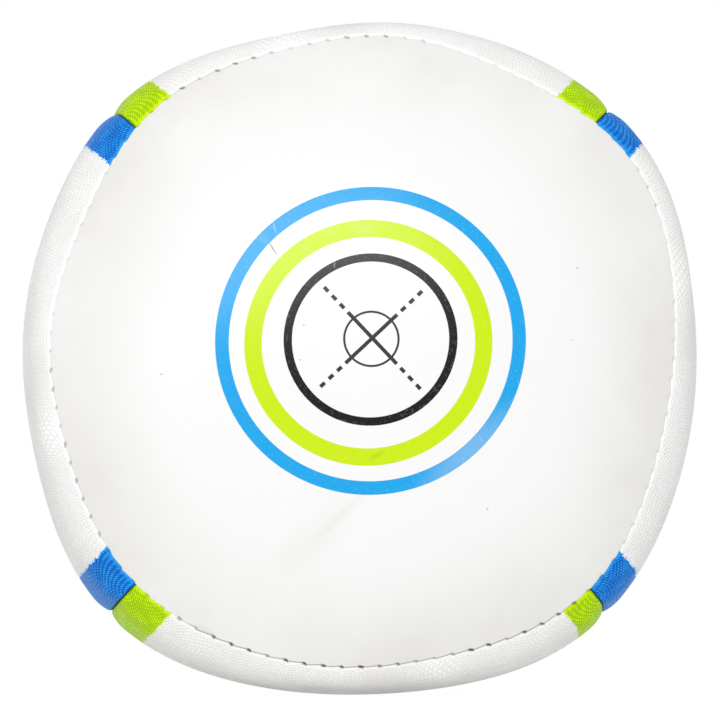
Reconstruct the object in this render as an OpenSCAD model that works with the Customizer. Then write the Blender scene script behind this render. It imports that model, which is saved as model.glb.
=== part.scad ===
// Flat-ended rugby training ball, sewn inside out from four side panels and a face.
// It lies on its bottom panel along Y, with its flat face towards -Y and its tip towards +Y.
// The origin is on the floor, below the middle of its length.

/* [Body] */
// Diameter at the widest section, midway between a seam and the middle of a panel
body_d = 190.6; // [170:0.1:215]
// From the widest section to the tip
tail_len = 145; // [120:1:170]
// From the widest section to where the front shoulder begins
front_len = 36; // [24:0.5:44]
// Pointedness of the tail: 0.5 is an ellipse, and more is more pointed
tail_shape = 0.54; // [0.5:0.01:0.65]
// How far the seams stand out, and the panels' middles in, at the widest section
squareness = 2.4; // [1:0.1:3.5]
// The same along the face's seam
rim_squareness = 1.6; // [0.5:0.1:2.5]
// Radius of the shoulder that rolls in to the face's seam
shoulder_r = 11; // [7:0.5:14]
// Lean of the shoulder's surface where it meets the face's seam, in degrees
fold_lean = 68; // [60:1:80]
// Radius of the opening that the four panels leave at the tip
tip_hole_r = 2.5; // [1.5:0.1:5]

/* [Face] */
// Height of the face's crown above its seam
crown_h = 15; // [8:0.5:20]
// How pillow-like the crown is: 2 is a round dome, and more is flatter with steeper edges
crown_shape = 3; // [2.5:0.1:6]
// Diameter of the flat middle of the face
face_flat_d = 44; // [30:1:60]
// Thickness of the smooth face cover
face_cover_t = 1.2; // [0.8:0.1:2]
// Thickness of the cloth behind the face cover
face_lining_t = 1.4; // [0.8:0.1:2]
// Thickness of the foam pad at its middle
foam_t = 8; // [5:0.5:12]
// Thickness of the foam pad at its edge
foam_edge_t = 3; // [2:0.5:5]
// Gap between the foam pad's edge and the ends of the lips round it
foam_inset = 6; // [5:0.5:20]

/* [Layers] */
// Thickness of a pimpled side panel
panel_t = 1; // [0.6:0.1:1.6]
// Thickness of the cloth behind a side panel
lining_t = 1.4; // [0.8:0.1:2]
// Thickness of the bladder's wall
bladder_t = 0.9; // [0.6:0.1:1.5]
// Gap between the bladder and what it presses on
bladder_gap = 0.25; // [0.2:0.05:0.6]

/* [Seams] */
// Depth of the groove along a long seam
groove_d = 1.2; // [0.5:0.1:2]
// Width over which a panel rolls down into that groove
groove_w = 4; // [3:0.5:6]
// How far the turned-in lips of a long seam reach past the linings
free_lip = 2.4; // [1.8:0.1:3.5]
// Length of the turned-in lips of the face's seam
rim_lip = 5.5; // [5.2:0.1:7]
// Lean of those lips from the ball's axis, in degrees
lip_lean = 45; // [40:1:50]
// Diameter of the thread
thread_d = 0.8; // [0.6:0.1:1]
// Distance between stitches
stitch_pitch = 5.2; // [4.5:0.1:7]

/* [Valve] */
// Diameter of the valve housing's stem
stem_d = 9; // [8:0.5:12]
// Depth of the stem's end below the panel around it
stem_recess = 0.3; // [0.2:0.1:0.6]
// Diameter of the flange inside the bladder
flange_d = 20; // [18:1:26]
// Thickness of that flange
flange_t = 1.4; // [1:0.1:2]
// Length of the housing below its flange
nose_len = 9; // [7:0.5:12]
// Diameter of the patch on the bladder's wall
patch_d = 34; // [30:1:44]
// Thickness of the patch
patch_t = 0.8; // [0.6:0.1:1.2]
// Gap between the bladder's wall and the patch, filled by the bonding rubber
patch_gap = 0.6; // [0.6:0.05:1]
// Diameter of the valve core
core_d = 5.2; // [4.8:0.1:6]
// Diameter of the core's head
core_head_d = 6.6; // [6.4:0.1:7.2]
// Thickness of the core's head
core_head_t = 1.2; // [0.8:0.1:1.6]
// Diameter of the hole that the pump needle enters
needle_d = 2; // [1.6:0.1:2.4]
// Depth of that hole
needle_depth = 5; // [4:0.5:8]
// Width of the slit that closes below the needle hole
slit_w = 0.2; // [0.1:0.05:0.3]
// Clearance round the stem, the core and the valve's flat faces
fit_gap = 0.1; // [0.05:0.01:0.2]

/* [Hidden] */

panel_white = "#f1f1ee";
cloth = "#d8ceb2";
smooth_white = "#fbfbf9";
foam_grey = "#6f7276";
latex = "#c9a36c";
black_rubber = "#2a2a2b";
thread_cream = "#e8dfc8";

// How finely the curved shells are divided
mid_cells = 8;        // across a panel, between its two rolled edges
shoulder_cells = 4;   // round the shoulder
fore_cells = 2;       // from the shoulder to the widest section
aft_cells = 11;       // from the widest section to the tip
face_cells = 4;       // from the foam's edge to the flat middle of the face

mid_r = body_d / 2;
layers_t = panel_t + lining_t;
face_layers_t = face_cover_t + face_lining_t;
thread_r = thread_d / 2;
seam_w = layers_t + groove_w;    // from a seam to where its panel starts to roll down
taper_r = 30;                    // seams get narrower where the body's radius is below this
last_stitch_r = 10;              // radius of the body at the last stitch before the tip

// The body's profile is worked out in a plane through its axis, as [s, r]: s is the distance
// behind the widest section, and r the distance from the axis.
function body_r(s) = mid_r * pow(1 - pow(s / tail_len, 2), tail_shape);

// Lean of the body's surface at s, in degrees, above zero where it leans towards the face
function lean(s) =
    atan(-2 * tail_shape * mid_r * s / pow(tail_len, 2)
        * pow(1 - pow(s / tail_len, 2), tail_shape - 1));

// Outward and inward directions where the surface leans by a degrees
function out_dir(a) = [-sin(a), cos(a)];
function in_dir(a) = [sin(a), -cos(a)];

// Direction, and length for 1 mm of depth, in which a corner between two surfaces moves in
function mitre(p, q) = (p + q) / (1 + p * q);

shoulder_lean = lean(-front_len);
shoulder_start = [-front_len, body_r(-front_len)];
shoulder_centre = shoulder_start + shoulder_r * in_dir(shoulder_lean);
rim = shoulder_centre + shoulder_r * out_dir(fold_lean);    // the face's seam
lip_dir = [cos(lip_lean), -sin(lip_lean)];                  // along the lips, into the ball
lip_back = [sin(lip_lean), cos(lip_lean)];                  // from the lips to the panels' side
lip_end = rim + rim_lip * lip_dir;

tip_angle = acos(pow(tip_hole_r / mid_r, 1 / (2 * tail_shape)));
tip_s = tail_len * sin(tip_angle);
face_s = rim[0] - crown_h;

// The part's frame: the middle of its length is at y = 0, and its bottom is at z = 0
axis_z = mid_r - squareness;
middle_s = (tip_s + face_s) / 2;
function place(s, r, a) = [r * sin(a), s - middle_s, axis_z + r * cos(a)];

// A station is a ring round the axis: [place, move for 1 mm of depth, squareness there,
// width of the seams there as a share, depth of the groove there as a share].
function share_of(r) = min(1, r / taper_r);
function body_station(s, groove) =
    let (r = body_r(s))
        [[s, r], in_dir(lean(s)), squareness * r / mid_r, share_of(r), groove * share_of(r)];
function shoulder_station(t) =
    let (a = fold_lean + t * (shoulder_lean - fold_lean),
         edge = squareness * shoulder_start[1] / mid_r)
        [shoulder_centre + shoulder_r * out_dir(a), in_dir(a),
         rim_squareness + t * (edge - rim_squareness), 1, t * t];

front_angle = asin(-front_len / tail_len);
side_stations = concat(
    [[lip_end, lip_back, rim_squareness, 1, 0]],
    [[rim, mitre(in_dir(fold_lean), lip_back), rim_squareness, 1, 0]],
    [for (i = [1 : shoulder_cells - 1]) shoulder_station(i / shoulder_cells)],
    [for (i = [0 : fore_cells])
        body_station(tail_len * sin(front_angle * (1 - i / fore_cells)), 1)],
    [for (i = [1 : aft_cells]) body_station(tail_len * sin(tip_angle * i / aft_cells), 1)]
);
side_rows = len(side_stations);

// Radius at a station, an angle from the middle of a panel and a depth
function ring_r(st, a, depth) = (st[0] + depth * st[1])[1] - st[2] * cos(4 * a);
function ring_s(st, depth) = (st[0] + depth * st[1])[0];
function ring_point(st, a, depth) = place(ring_s(st, depth), ring_r(st, a, depth), a);

// Angle from a panel's middle at which it starts to roll down into its seam
function roll_angle(st) = 45 - asin(seam_w * st[3] / max(st[0][1], seam_w * st[3] * 1.5));

// Angles of a panel's columns from one seam to the next, seams included
function column_angles(st) =
    let (a = roll_angle(st))
        concat([-45], [for (j = [0 : mid_cells]) a * (2 * j / mid_cells - 1)], [45]);

// A point on a seam's lips: depth below the panels' surface, and beside is how far from the seam
function seam_point(st, side, depth, beside) =
    let (p = ring_point(st, 45 * side, depth), e = beside * st[3] * sin(45))
        [p[0] - side * e, p[1], p[2] + e];

function groove_of(st) = groove_d * st[4];
function lip_depth(st) = groove_of(st) + layers_t + free_lip * max(st[4], 0.25);

// One row of points across a panel, a depth below its outer surface, from lip end to lip end
function panel_row(st, depth) =
    let (angles = column_angles(st), roll = [for (a = angles) 0.15 * groove_of(st)])
        concat(
            [seam_point(st, -1, lip_depth(st), depth),
             seam_point(st, -1, groove_of(st) + depth, depth)],
            [for (j = [1 : len(angles) - 2])
                let (edge = j == 1 || j == len(angles) - 2)
                    ring_point(st, angles[j], depth + (edge ? roll[j] : 0))],
            [seam_point(st, 1, groove_of(st) + depth, depth),
             seam_point(st, 1, lip_depth(st), depth)]
        );
function panel_rows(depth) = [for (st = side_stations) panel_row(st, depth)];

// The face takes the same angles as the panels' front edges. Its rings lie at shares of the way
// from the axis to the seam, and shrink to the flat middle.
flat_share = face_flat_d / 2 / rim[1];
foam_share = (lip_end[1] - foam_inset) / rim[1];
face_shares = concat(
    [(1 + foam_share) / 2],
    [for (i = [0 : face_cells]) foam_share + (flat_share - foam_share) * i / face_cells]);
function crown(x) = crown_h * (1 - pow(x, crown_shape));
function crown_lean(x) = atan(crown_shape * crown_h / rim[1] * pow(x, crown_shape - 1));
function face_in(x) = [cos(crown_lean(x)), -sin(crown_lean(x))];
function face_station(x) =
    x > flat_share
        ? [[rim[0] - crown(x), x * rim[1]], face_in(x), rim_squareness * pow(x, 3), 1, 0]
        : [[face_s, x * rim[1]], [1, 0], 0, 1, 0];
face_stations = concat(
    [[lip_end, -lip_back, rim_squareness, 1, 0]],
    [[rim, mitre(face_in(1), -lip_back), rim_squareness, 1, 0]],
    [for (x = face_shares) face_station(x)]
);

// Every angle round the face's seam, where each seam between two panels is one column
rim_columns = let (a = column_angles(side_stations[1])) [
    for (quarter = [0 : 3], j = [0 : len(a) - 2]) a[j] + 90 * quarter];
function ring_row(st, depth, angles) = [for (a = angles) ring_point(st, a, depth)];
function face_rows(depth) = [for (st = face_stations) ring_row(st, depth, rim_columns)];

// The foam lies against the face's lining, and gets thinner towards its edge
foam_stations = [for (i = [0 : face_cells]) face_stations[i + 3]];
function foam_depth(i) =
    face_layers_t + foam_edge_t + (foam_t - foam_edge_t) * sin(90 * i / face_cells);
function foam_rows(under) = [
    for (i = [0 : face_cells])
        ring_row(foam_stations[i], under ? foam_depth(i) : face_layers_t, rim_columns)];

// The bladder follows the foam, passes under the lips of every seam, and fills the panels.
// Its wall is worked out twice, once for each side.
lip_clear = layers_t + thread_d + bladder_gap;
face_lip_clear = face_layers_t + thread_d + bladder_gap;
lip_past = lip_end + bladder_gap * lip_dir;
bladder_corners = [
    [lip_past - face_lip_clear * lip_back, mitre(lip_dir, face_in(foam_share))],
    [lip_past + lip_clear * lip_back, mitre(lip_dir, in_dir(shoulder_lean))]
];
function clear_angle(st) =
    45 - asin(lip_clear * st[3] / max(st[0][1], lip_clear * st[3] * 1.5));
function bladder_angles(st) =
    let (a = column_angles(st), clear = clear_angle(st)) [
        for (quarter = [0 : 3])
            each [
                -clear + 90 * quarter,
                for (j = [1 : len(a) - 2]) a[j] + 90 * quarter,
                clear + 90 * quarter
            ]];
bladder_columns = mid_cells + 3;    // in each quarter
function bladder_depth(st, k) =
    let (at_lips = k == 0 || k == bladder_columns - 1,
         rolled = k == 1 || k == bladder_columns - 2,
         inside = layers_t + (rolled ? 0.15 * groove_of(st) : 0))
        bladder_gap + (at_lips ? lip_depth(st)
                               : lip_depth(st) + (inside - lip_depth(st)) * st[3]);
function bladder_side_row(st, wall) =
    let (angles = bladder_angles(st)) [
        for (j = [0 : len(angles) - 1])
            ring_point(st, angles[j], bladder_depth(st, j % bladder_columns) + wall)];
function bladder_rows(wall) = concat(
    [for (i = [face_cells : -1 : 0])
        ring_row(foam_stations[i], foam_depth(i) + bladder_gap + wall,
            bladder_angles(side_stations[1]))],
    [for (corner = bladder_corners)
        ring_row([corner[0], corner[1], rim_squareness, 1, 0], wall,
            bladder_angles(side_stations[1]))],
    [for (i = [shoulder_cells + 1 : side_rows - 1]) bladder_side_row(side_stations[i], wall)]
);

// Shells are grids of points. In a grid whose rows run from the face to the tip, or from the
// axis out to the face's seam, the triangles look outwards, and flip turns them round.
function flat_list(rows) = [for (row = rows) each row];
function grid_faces(rows, cols, first, wrap, flip) = [
    for (i = [0 : rows - 2], j = [0 : cols - (wrap ? 1 : 2)])
        let (a = first + i * cols + j, d = first + i * cols + (j + 1) % cols,
             b = a + cols, c = d + cols)
            each (flip ? [[a, c, b], [a, d, c]] : [[a, b, c], [a, c, d]])];
function cap_faces(cols, first, flip) = [
    for (j = [1 : cols - 2])
        flip ? [first, first + j + 1, first + j] : [first, first + j, first + j + 1]];
function wall_faces(border, count) = [
    for (k = [0 : len(border) - 1])
        let (p = border[k], q = border[(k + 1) % len(border)])
            each [[p, q, q + count], [p, q + count, p + count]]];
function sheet_border(rows, cols) = concat(
    [for (j = [0 : cols - 1]) j],
    [for (i = [1 : rows - 1]) i * cols + cols - 1],
    [for (j = [cols - 2 : -1 : 0]) (rows - 1) * cols + j],
    [for (i = [rows - 2 : -1 : 1]) i * cols]);

// A sheet with four edges, between its outer and inner rows
module sheet(outer, inner) {
    rows = len(outer);
    cols = len(outer[0]);
    count = rows * cols;
    polyhedron(
        points = concat(flat_list(outer), flat_list(inner)),
        faces = concat(
            grid_faces(rows, cols, 0, false, false),
            grid_faces(rows, cols, count, false, true),
            wall_faces(sheet_border(rows, cols), count)));
}

// A round sheet whose first rows are its edge and whose last rows are its flat middle
module dome(inner, outer) {
    rows = len(inner);
    cols = len(inner[0]);
    count = rows * cols;
    last = count - cols;
    polyhedron(
        points = concat(flat_list(inner), flat_list(outer)),
        faces = concat(
            grid_faces(rows, cols, 0, true, false),
            grid_faces(rows, cols, count, true, true),
            cap_faces(cols, last, true),
            cap_faces(cols, count + last, false),
            wall_faces([for (j = [0 : cols - 1]) j], count)));
}

// A closed round body, flat at both ends
module balloon(rows) {
    cols = len(rows[0]);
    polyhedron(
        points = flat_list(rows),
        faces = concat(
            grid_faces(len(rows), cols, 0, true, false),
            cap_faces(cols, 0, false),
            cap_faces(cols, (len(rows) - 1) * cols, true)));
}

// A four-sided thread through a list of [point, direction square to the zig-zag there]
function unit(v) = v / norm(v);
function thread_ring(p, before, after, up) =
    let (s = mitre(cross(up, before), cross(up, after)))
        [p + thread_r * s, p + thread_r * up, p - thread_r * s, p - thread_r * up];
function thread_rows(path, loop) = let (n = len(path)) [
    for (i = [0 : n - 1])
        let (p = path[i][0],
             back = loop || i > 0 ? path[(i + n - 1) % n][0] : undef,
             fore = loop || i < n - 1 ? path[(i + 1) % n][0] : undef,
             before = unit(is_undef(back) ? fore - p : p - back),
             after = unit(is_undef(fore) ? p - back : fore - p))
            thread_ring(p, before, after, path[i][1])];
module thread(path, loop) {
    rows = thread_rows(path, loop);
    n = len(rows);
    all_rows = loop ? concat(rows, [rows[0]]) : rows;
    polyhedron(
        points = flat_list(rows),
        faces = concat(
            [for (f = grid_faces(len(all_rows), 4, 0, true, false)) [for (k = f) k % (4 * n)]],
            loop ? [] : cap_faces(4, 0, false),
            loop ? [] : cap_faces(4, 4 * (n - 1), true)));
}

// Stitches are spaced along a seam by its length, which a table gives at each degree
function seam_place(a) = [tail_len * sin(a), body_r(tail_len * sin(a))];
function seam_table(a, length = 0) =
    a > tip_angle - 1
        ? [[length, a]]
        : concat([[length, a]],
            seam_table(a + 1, length + norm(seam_place(a + 1) - seam_place(a))));
long_seam = seam_table(front_angle);
stitch_depth = layers_t + (free_lip + thread_r) / 2;    // below the groove
last_angle = acos(pow(last_stitch_r / mid_r, 1 / (2 * tail_shape)));
function long_seam_length(a) = lookup(a, [for (row = long_seam) [row[1], row[0]]]);
long_stitches = floor(long_seam_length(last_angle) / stitch_pitch);
function zig(i) = i % 2 == 0 ? -1 : 1;

// A stitch of the top right seam: the thread crosses at each hole, then runs on to the next
function long_stitch(i, side) =
    let (s = tail_len * sin(lookup(i * stitch_pitch, long_seam)),
         st = body_station(s, 1),
         p = seam_point(st, 1, groove_of(st) + stitch_depth * st[3], 0),
         e = side * (layers_t * st[3] + thread_r) * sin(45),
         deeper = seam_point(st, 1, groove_of(st) + stitch_depth * st[3] + 1, 0))
        [p + [e, 0, -e], unit(deeper - p)];
long_path = [for (i = [0 : long_stitches]) each [long_stitch(i, zig(i)), long_stitch(i, -zig(i))]];

// A stitch of the seam round the face
rim_stitch_in = rim_lip - thread_d - thread_r;
rim_at = rim + rim_stitch_in * lip_dir;
rim_stitches = 2 * round(PI * rim[1] / stitch_pitch);
function rim_stitch(i, side) =
    let (a = 360 * (i + 0.5) / rim_stitches,
         off = side > 0 ? layers_t + thread_r : -(face_layers_t + thread_r),
         at = rim_at + off * lip_back,
         r = at[1] - rim_squareness * cos(4 * a),
         p = place(at[0], r, a))
        [p, unit(place(at[0] + lip_dir[0], r + lip_dir[1], a) - p)];
rim_path = [for (i = [0 : rim_stitches - 1]) each [rim_stitch(i, zig(i)), rim_stitch(i, -zig(i))]];

// The valve stands in the middle of the top panel, at the widest section
valve_station = body_station(0, 1);
valve_y = -middle_s;
valve_top = axis_z + ring_r(valve_station, 0, 0);
function height_beside(x, s, depth) =
    let (st = body_station(s, 1), r = ring_r(st, 0, depth), a = asin(x / r))
        axis_z + ring_r(st, a, depth) * cos(a);
patch_depth = layers_t + bladder_gap + bladder_t + patch_gap;
stem_top = valve_top - stem_recess;
flange_top = height_beside(flange_d / 2, 0, patch_depth + patch_t) - fit_gap;
flange_bottom = flange_top - flange_t;
nose_end = flange_bottom - nose_len;
nose_d = (stem_d + core_d) / 2;
core_taper = 2;                  // length of the core's tapered end
patch_rows_r = [patch_d / 2, (patch_d + stem_d) / 4, stem_d / 4];
patch_columns = 24;
function patch_rows(depth) = [
    for (r = patch_rows_r) [
        for (j = [0 : patch_columns - 1])
            let (a = 360 * j / patch_columns, x = r * sin(a), y = r * cos(a))
                [x, valve_y + y, height_beside(abs(x), y, depth)]]];

module at_valve(z) {
    translate([0, valve_y, z]) children();
}

module stem_hole() {
    at_valve(nose_end) cylinder(d = stem_d + 2 * fit_gap, h = valve_top - nose_end + 5, $fn = 48);
}

// Turns a piece of the top panel to another panel's or seam's place
module turned(quarters) {
    translate([0, 0, axis_z]) rotate([0, 90 * quarters, 0]) translate([0, 0, -axis_z]) children();
}

module panel() {
    color(panel_white) sheet(panel_rows(0), panel_rows(panel_t));
}

module lining() {
    color(cloth) sheet(panel_rows(panel_t), panel_rows(layers_t));
}

module panel_top() {
    color(panel_white) difference() {
        panel();
        stem_hole();
    }
}

module lining_top() {
    color(cloth) difference() {
        lining();
        stem_hole();
    }
}

module face_cover() {
    color(smooth_white) dome(face_rows(face_cover_t), face_rows(0));
}

module face_lining() {
    color(cloth) dome(face_rows(face_layers_t), face_rows(face_cover_t));
}

module face_foam() {
    color(foam_grey) dome(foam_rows(true), foam_rows(false));
}

module bladder() {
    color(latex) difference() {
        balloon(bladder_rows(0));
        balloon(bladder_rows(bladder_t));
        stem_hole();
    }
}

module valve_patch() {
    color(black_rubber) difference() {
        dome(patch_rows(patch_depth + patch_t), patch_rows(patch_depth));
        stem_hole();
    }
}

// The valve's round pieces are turned about its axis, from [radius, height] points
module turned_on_valve(profile) {
    at_valve(0) rotate_extrude($fn = 64) polygon(profile);
}

module valve_body() {
    bore_r = core_d / 2 + fit_gap;
    head_r = core_head_d / 2 + fit_gap;
    seat = stem_top - core_head_t - fit_gap;
    color(black_rubber) turned_on_valve([
        [bore_r, nose_end], [nose_d / 2, nose_end], [nose_d / 2, flange_bottom],
        [flange_d / 2, flange_bottom], [flange_d / 2, flange_top], [stem_d / 2, flange_top],
        [stem_d / 2, stem_top], [head_r, stem_top], [head_r, seat], [bore_r, seat]]);
}

module valve_core() {
    core_r = core_d / 2;
    head_r = core_head_d / 2;
    needle_r = needle_d / 2;
    needle_end = stem_top - needle_depth;
    core_end = nose_end - core_taper;
    color(black_rubber) difference() {
        turned_on_valve([
            [0, core_end], [core_r / 2, core_end], [core_r, nose_end],
            [core_r, stem_top - core_head_t], [head_r, stem_top - core_head_t],
            [head_r, stem_top], [needle_r, stem_top], [needle_r, needle_end], [0, needle_end]]);
        translate([-needle_r, valve_y - slit_w / 2, core_end - 1])
            cube([needle_d, slit_w, needle_end - core_end + 1.5]);
    }
}

module seam_thread() {
    color(thread_cream) thread(long_path, false);
}

module rim_thread() {
    color(thread_cream) thread(rim_path, true);
}

panel_top();
turned(1) panel();  // panel_right
turned(2) panel();  // panel_bottom
turned(3) panel();  // panel_left
lining_top();
turned(1) lining();  // lining_right
turned(2) lining();  // lining_bottom
turned(3) lining();  // lining_left
face_cover();
face_lining();
face_foam();
bladder();
valve_patch();
valve_body();
valve_core();
seam_thread();  // seam_thread_top_right
turned(1) seam_thread();  // seam_thread_bottom_right
turned(2) seam_thread();  // seam_thread_bottom_left
turned(3) seam_thread();  // seam_thread_top_left
rim_thread();
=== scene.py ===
import math

import bpy
import numpy as np
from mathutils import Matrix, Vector
from mathutils.bvhtree import BVHTree


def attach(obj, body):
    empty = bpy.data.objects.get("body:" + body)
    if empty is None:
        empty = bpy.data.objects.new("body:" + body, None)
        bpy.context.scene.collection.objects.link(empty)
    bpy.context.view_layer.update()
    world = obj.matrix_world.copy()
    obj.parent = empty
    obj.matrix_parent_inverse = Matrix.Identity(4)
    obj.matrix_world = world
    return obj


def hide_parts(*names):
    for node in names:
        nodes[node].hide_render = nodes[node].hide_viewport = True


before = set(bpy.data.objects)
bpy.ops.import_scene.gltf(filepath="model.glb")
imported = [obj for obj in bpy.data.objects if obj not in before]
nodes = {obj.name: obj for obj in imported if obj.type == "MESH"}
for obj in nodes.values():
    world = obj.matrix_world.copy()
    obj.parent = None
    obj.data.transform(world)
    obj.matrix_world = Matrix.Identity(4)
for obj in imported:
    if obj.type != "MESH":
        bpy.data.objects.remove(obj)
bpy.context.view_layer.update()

# ---- Camera and image points ----------------------------------------------------------------
PHOTO_W = 720
PHOTO_H = 720
LONG_SIDE = max(PHOTO_W, PHOTO_H)
LENS = 178.33
SENSOR = 36.0
SHIFT_X = 0.0
SHIFT_Y = 0.0
CAMERA_AT = Vector((-0.0480, -1.0392, 0.0227))
AIM_AT = Vector((0.00036, -0.0428, 0.0934))
RAY_FROM = 0.8          # a ray that misses is followed from here, in metres from the camera
RAY_STEP = 0.002
RAY_STEPS = 200

# Places in the photograph, in its pixels. None stands for the side that an edge doesn't have.
POINTS = {
    "ball_left": (23.5, None),
    "ball_right": (695.5, None),
    "ball_top": (None, 22.5),
    "ball_bottom": (None, 691.5),
    "face_seam_left": (49.4, None),
    "face_seam_right": (674.8, None),
    "face_seam_top": (None, 36.5),
    "face_seam_bottom": (None, 665.4),
    "seam_end_top_left": (135.6, 127.9),
    "seam_end_top_right": (596.0, 122.6),
    "seam_end_bottom_left": (135.5, 585.0),
    "seam_end_bottom_right": (591.9, 588.4),
    "aiming_cross": (372.3, 338.0),
    "black_ring": (370.7, 339.3),
    "green_ring": (368.7, 342.3),
    "blue_ring": (371.2, 339.9),
}


def show(name, data):
    """A new object in the scene."""
    made = bpy.data.objects.new(name, data)
    bpy.context.scene.collection.objects.link(made)
    return made


camera_data = bpy.data.cameras.new("camera")
camera_data.lens = LENS
camera_data.sensor_width = SENSOR
camera_data.sensor_fit = "AUTO"
camera_data.shift_x = SHIFT_X
camera_data.shift_y = SHIFT_Y
camera = show("camera", camera_data)
camera.location = CAMERA_AT
camera.rotation_euler = (AIM_AT - CAMERA_AT).to_track_quat("-Z", "Y").to_euler()
bpy.context.scene.camera = camera
bpy.context.view_layer.update()


def place_under(point, surface):
    """Where the ray through an image point meets a surface, or the place nearest the ray."""
    x, y = point
    ray = Vector((
        x - PHOTO_W / 2 + SHIFT_X * LONG_SIDE,
        PHOTO_H / 2 - y + SHIFT_Y * LONG_SIDE,
        -LONG_SIDE * LENS / SENSOR,
    ))
    ray = (camera.matrix_world.to_3x3() @ ray).normalized()
    hit = surface.ray_cast(CAMERA_AT, ray)[0]
    if hit is not None:
        return hit
    steps = [CAMERA_AT + ray * (RAY_FROM + RAY_STEP * k) for k in range(RAY_STEPS)]
    return min((surface.find_nearest(step) for step in steps), key=lambda found: found[3])[0]


# ---- The ball's sizes, in millimetres, as in the part's source -------------------------------
MM = 0.001
MID_R = 95.3            # radius at the widest section
TAIL_LEN = 145.0        # from there to the tip
FRONT_LEN = 36.0        # and to the front shoulder
TAIL_SHAPE = 0.54
SQUARENESS = 2.4        # how far the seams stand out at the widest section
RIM_SQUARENESS = 1.6    # and along the face's seam
SHOULDER_R = 11.0
FOLD_LEAN = math.radians(68)
CROWN_H = 15.0          # height of the face above its seam
CROWN_SHAPE = 3         # more is flatter in the middle, steeper at the edge
COVER_T = 1.2
FACE_LINING_T = 1.4
PANEL_T = 1.0
LINING_T = 1.4
GROOVE_D = 1.2
SEAM_W = 6.4            # from a long seam to where its panel starts to roll down
FREE_LIP = 2.4
RIM_LIP = 5.5
THREAD_R = 0.4
STITCH_PITCH = 5.2
RIM_STITCHES = 104
LONG_STITCHES = 41
TAPER_R = 30.0          # seams get narrower where the body's radius is below this
TIP_HOLE_R = 2.5        # radius of what the source's panels leave open at the tip
CLOSED_R = 0.35         # the skin here closes that to this radius
HOLE_R = 4.6            # hole for the valve's stem

LAYERS_T = PANEL_T + LINING_T
FACE_LAYERS_T = COVER_T + FACE_LINING_T
QUARTER = math.pi / 4


def body_r(s):
    """Radius of the body at s behind its widest section."""
    return MID_R * (1 - (s / TAIL_LEN) ** 2) ** TAIL_SHAPE


def lean(s):
    """Lean of the body's surface at s, above zero where it leans towards the face."""
    slope = -2 * TAIL_SHAPE * MID_R * s / TAIL_LEN ** 2
    return math.atan(slope * (1 - (s / TAIL_LEN) ** 2) ** (TAIL_SHAPE - 1))


SHOULDER_LEAN = lean(-FRONT_LEN)
SHOULDER_LENGTH = SHOULDER_R * (FOLD_LEAN - SHOULDER_LEAN)
SHOULDER_START_R = body_r(-FRONT_LEN)
SHOULDER_CENTRE = np.array([
    -FRONT_LEN + SHOULDER_R * math.sin(SHOULDER_LEAN),
    SHOULDER_START_R - SHOULDER_R * math.cos(SHOULDER_LEAN),
])
RIM = SHOULDER_CENTRE + SHOULDER_R * np.array([-math.sin(FOLD_LEAN), math.cos(FOLD_LEAN)])
LIP_DIR = np.array([1.0, -1.0]) / math.sqrt(2)
LIP_BACK = np.array([1.0, 1.0]) / math.sqrt(2)
LIP_END = RIM + RIM_LIP * LIP_DIR
TIP_S = TAIL_LEN * math.sin(math.acos((TIP_HOLE_R / MID_R) ** (1 / (2 * TAIL_SHAPE))))
MIDDLE_S = (TIP_S + RIM[0] - CROWN_H) / 2
AXIS_Z = MID_R - SQUARENESS

# ---- How the real ball departs from its pattern ----------------------------------------------
# Out of round, in mm: shares of cos a, sin a, cos 2a, sin 2a, ... sin 8a round the axis
BODY_ROUND = (-0.66, 0.03, -0.31, 0.53, -0.11, 0.15, -0.29, 0.21,
              0.17, 0.11, -0.26, 0.12, 0, 0.26, 0.24, 0.23)
FACE_ROUND = (-0.21, 0.07, 0.44, 0.72, -0.1, 0.06, 0.13, -0.45,
              0.48, -0.54, 0.07, 0.28, 0.06, 0.31, 0.42, 0.3)
# Degrees that each long seam is off its place at the face, clockwise from the top left one, with
# the first two again at the end
SEAM_DRIFT = np.radians([-1.1, 0.1, 1.8, -0.5, -1.1, 0.1])
SEAM_ANGLES = np.radians([-45, 45, 135, 225, 315, 405])
FOLD_R = 0.3            # radius over which a panel and the face fold into the face's seam
LONG_FOLD_R = 0.9       # and a panel into a long seam
FOLD_MITRE = 0.7        # the face's layers thin towards its fold by this much for each mm
PIMPLE_PITCH = 1.08     # from a pimple to the next
STEP_H = 0.34           # each stitch of the face's seam steps it outwards by about this much
STEP_SHARE = 0.22       # and this share of a stitch is the step
STEP_FADE = 3.6         # a step is gone this far from the seam
OPEN_SHARE = 0.15       # a stitch opens the seam over about this share of its length, either way
SINK_AT = 0.3           # the skin sinks most at this distance from the seam, where it is open
SINK_REACH = 0.8
PANEL_SINK = 0.2        # how far a panel sinks there
COVER_SINK = 0.12       # and how far the face does
FACE_REACH = 14         # behind its seam, the face's roundness gives way to the body's over this
VALVE_REACH = 14        # the skin is true about this far round the valve
HAND = np.random.default_rng(7).uniform(0.45, 1.3, (2, RIM_STITCHES))    # uneven handwork


def eased(x):
    """A share from 0 to 1 that starts and ends gently."""
    return x * x * (3 - 2 * x)


def out_of_round(shares, a):
    """Change of radius at an angle round the axis."""
    pairs = zip(shares[0::2], shares[1::2])
    return sum(c * np.cos(n * a) + s * np.sin(n * a) for n, (c, s) in enumerate(pairs, 1))


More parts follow.
